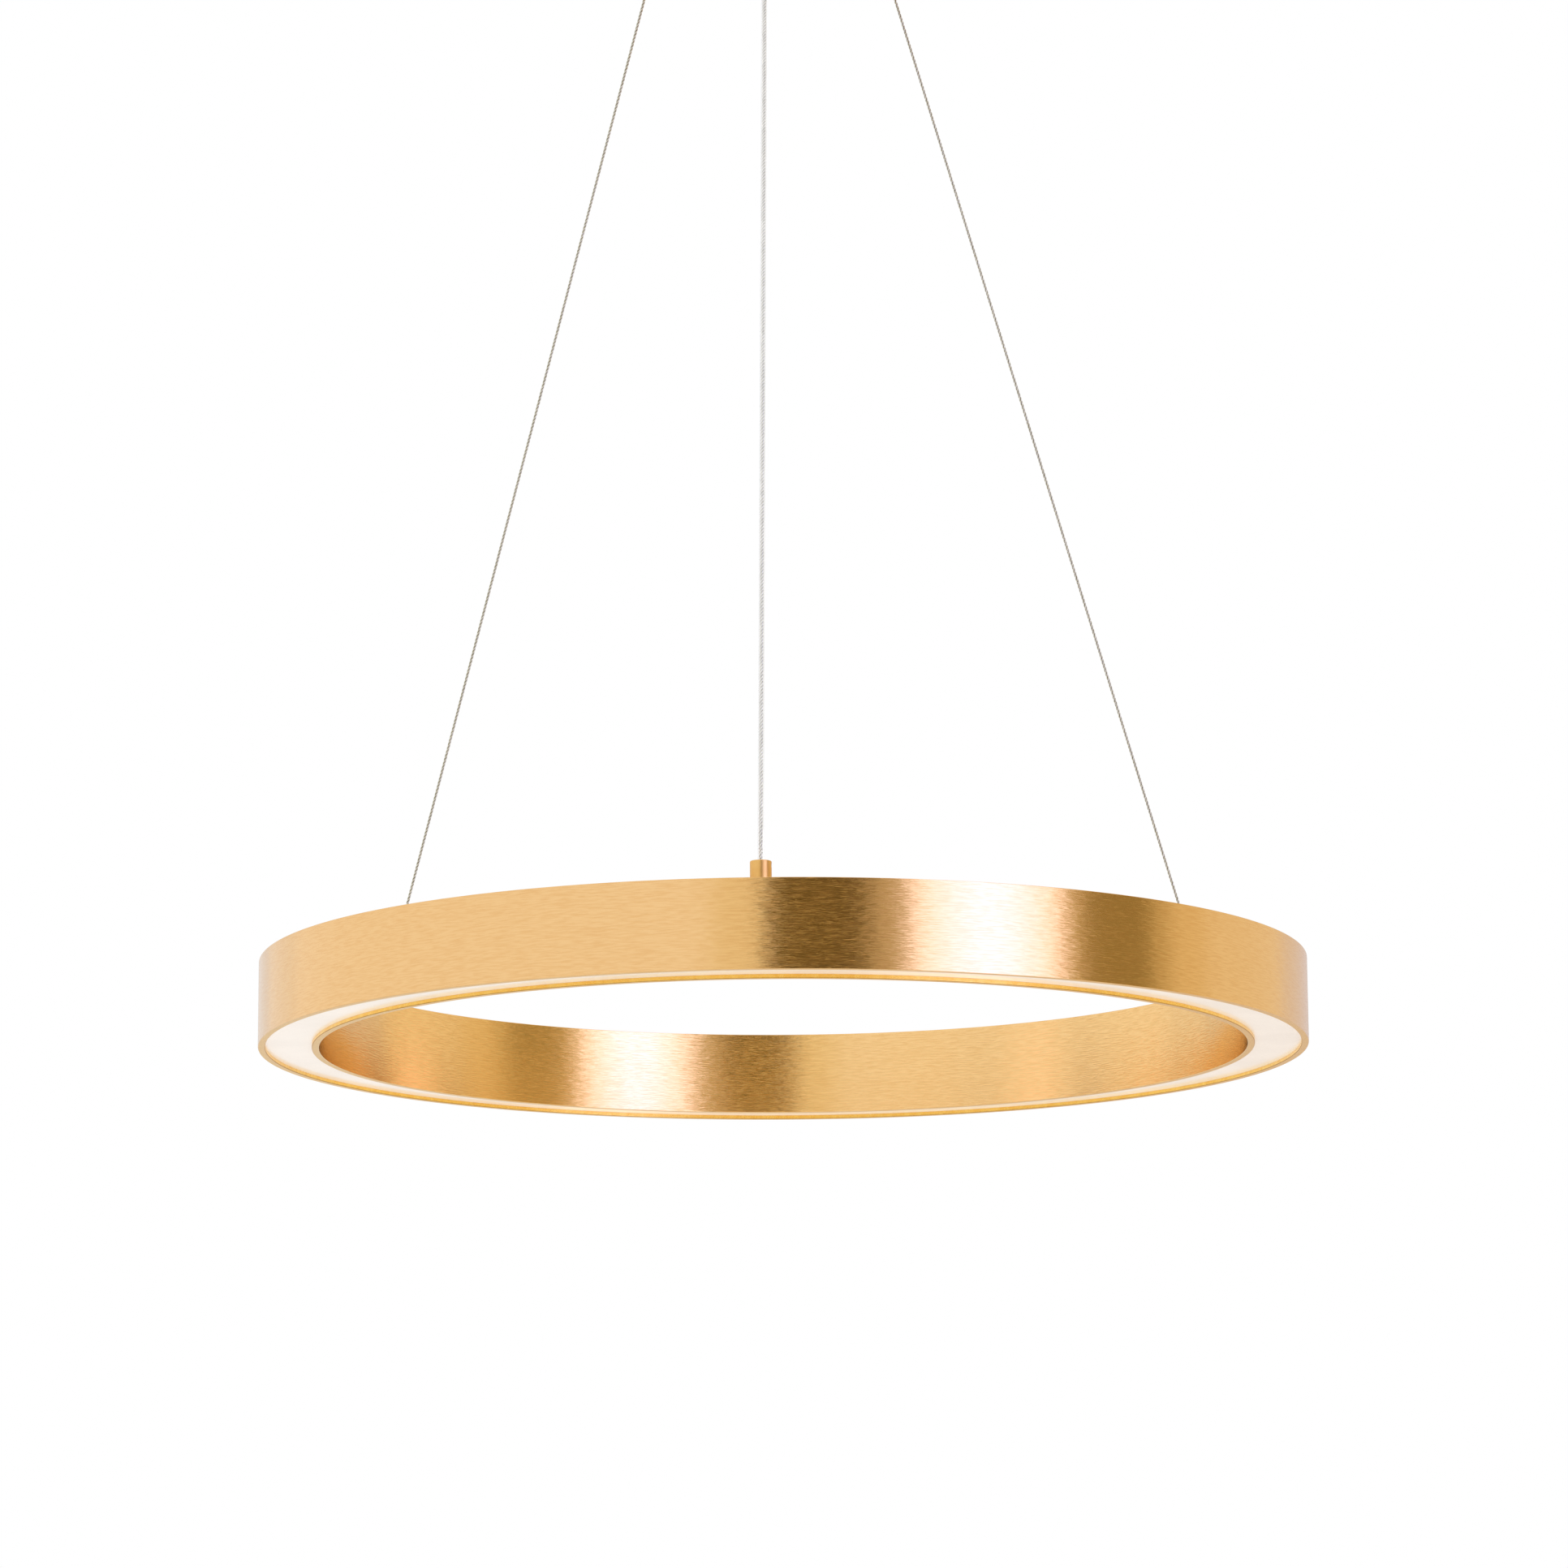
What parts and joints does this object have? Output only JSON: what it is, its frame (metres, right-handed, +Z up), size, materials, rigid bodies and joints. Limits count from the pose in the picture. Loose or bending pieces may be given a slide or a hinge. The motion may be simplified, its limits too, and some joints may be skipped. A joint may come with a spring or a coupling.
{
  "type": "pendant light",
  "caption": "Ring pendant light: a brushed gold band with an opal lit underside, hung level on converging cables from a round ceiling canopy.",
  "frame": {"origin": "centre of the ceiling bracket's two slots, on the ceiling", "axes": "+Z up towards the ceiling, -Y towards the viewer of the picture, +X to the viewer's right"},
  "size_m": [0.6, 0.6, 0.714],
  "materials": {
    "brushed_gold": "brushed and anodised gold aluminium, fine strokes round the ring",
    "canopy_gold": "satin gold lacquer on pressed steel",
    "opal_acrylic": "opal acrylic, satin, lit warm white",
    "wire_rope": "stranded stainless wire rope",
    "jacketed_cable": "clear jacket over twisted tinned strands",
    "zinc_steel": "zinc plated steel",
    "raw_brass": "turned brass",
    "plain_aluminium": "mill finish aluminium",
    "white_plastic": "white moulded polycarbonate",
    "black_plastic": "black moulded plastic and ferrite",
    "green_board": "green solder mask on fibreglass board",
    "white_board": "white flexible circuit",
    "led_phosphor": "yellow phosphor in a white package",
    "brown_lead": "brown insulated lead"
  },
  "bodies": {
    "ceiling_mount": {"ceiling_bracket": "zinc_steel", "canopy_cup": "canopy_gold", "canopy_screws": "canopy_gold", "canopy_nuts": "zinc_steel", "driver_base": "white_plastic", "driver_lid": "white_plastic", "driver_board": "green_board", "driver_transformer": "black_plastic", "driver_capacitors": "black_plastic", "driver_screws": "zinc_steel", "terminal_block": "white_plastic", "terminal_screws": "zinc_steel", "earth_screw": "raw_brass", "mains_leads": "brown_lead", "gripper_body_left": "canopy_gold", "gripper_body_right": "canopy_gold", "gripper_spring_left": "zinc_steel", "gripper_spring_right": "zinc_steel", "cord_grip_body": "canopy_gold", "cord_grip_collet": "white_plastic", "cord_grip_cap": "canopy_gold", "wire_tail_left": "wire_rope", "wire_tail_right": "wire_rope", "power_cable_tail": "jacketed_cable"},
    "left_nipple": {"release_nipple_left": "raw_brass", "gripping_balls_left": "zinc_steel"},
    "right_nipple": {"release_nipple_right": "raw_brass", "gripping_balls_right": "zinc_steel"},
    "front_cable": {"power_cable": "jacketed_cable"},
    "cable_end": {"cable_stop": "zinc_steel"},
    "ring": {"outer_band": "brushed_gold", "inner_band": "brushed_gold", "top_cover": "brushed_gold", "top_cover_screws": "raw_brass", "led_carrier": "plain_aluminium", "carrier_standoffs": "zinc_steel", "carrier_screws": "zinc_steel", "led_strip": "white_board", "led_chips": "led_phosphor", "diffuser": "opal_acrylic", "strip_connector": "white_plastic", "ring_lead": "jacketed_cable", "cable_gland": "brushed_gold", "gland_grub_screw": "zinc_steel", "wire_fitting_left": "brushed_gold", "wire_fitting_right": "brushed_gold", "wire_stop_left": "zinc_steel", "wire_stop_right": "zinc_steel", "fitting_locknuts": "zinc_steel"},
    "left_wire": {"suspension_wire_left": "wire_rope"},
    "right_wire": {"suspension_wire_right": "wire_rope"}
  },
  "joints": [
    {"name": "cable_swing", "type": "hinge", "parent": "ceiling_mount", "child": "front_cable", "pos_m": [-0.00131, -0.08359, -0.057], "axis": [0, 1, 0], "range_deg": [-6, 6]},
    {"name": "height", "type": "slide", "parent": "front_cable", "child": "cable_end", "axis": [0, 0, 1], "range_m": [0, 0.3], "deforming": ["power_cable", "suspension_wire_left", "suspension_wire_right"]},
    {"name": "ring_level", "type": "hinge", "parent": "cable_end", "child": "ring", "pos_m": [-0.00544, -0.28242, -0.6602], "axis": [0, 1, 0], "range_deg": [-1.8, 1.8]},
    {"name": "left_wire_swing", "type": "hinge", "parent": "ceiling_mount", "child": "left_wire", "pos_m": [-0.07173, 0.04293, -0.057], "axis": [0, 1, 0], "range_deg": [-6, 6]},
    {"name": "right_wire_swing", "type": "hinge", "parent": "ceiling_mount", "child": "right_wire", "pos_m": [0.07305, 0.04066, -0.057], "axis": [0, 1, 0], "range_deg": [-6, 6]},
    {"name": "left_release", "type": "slide", "parent": "ceiling_mount", "child": "left_nipple", "axis": [0, 0, 1], "range_m": [0, 0.002], "stiffness_N_per_m": 500, "springref_m": -0.003, "deforming": ["gripper_spring_left"]},
    {"name": "right_release", "type": "slide", "parent": "ceiling_mount", "child": "right_nipple", "axis": [0, 0, 1], "range_m": [0, 0.002], "stiffness_N_per_m": 500, "springref_m": -0.003, "deforming": ["gripper_spring_right"]}
  ],
  "couplings": [
    {"joint": "ring_level", "follows": "cable_swing", "ratio": -0.296},
    {"joint": "left_wire_swing", "follows": "cable_swing", "ratio": 1},
    {"joint": "right_wire_swing", "follows": "cable_swing", "ratio": 1}
  ]
}
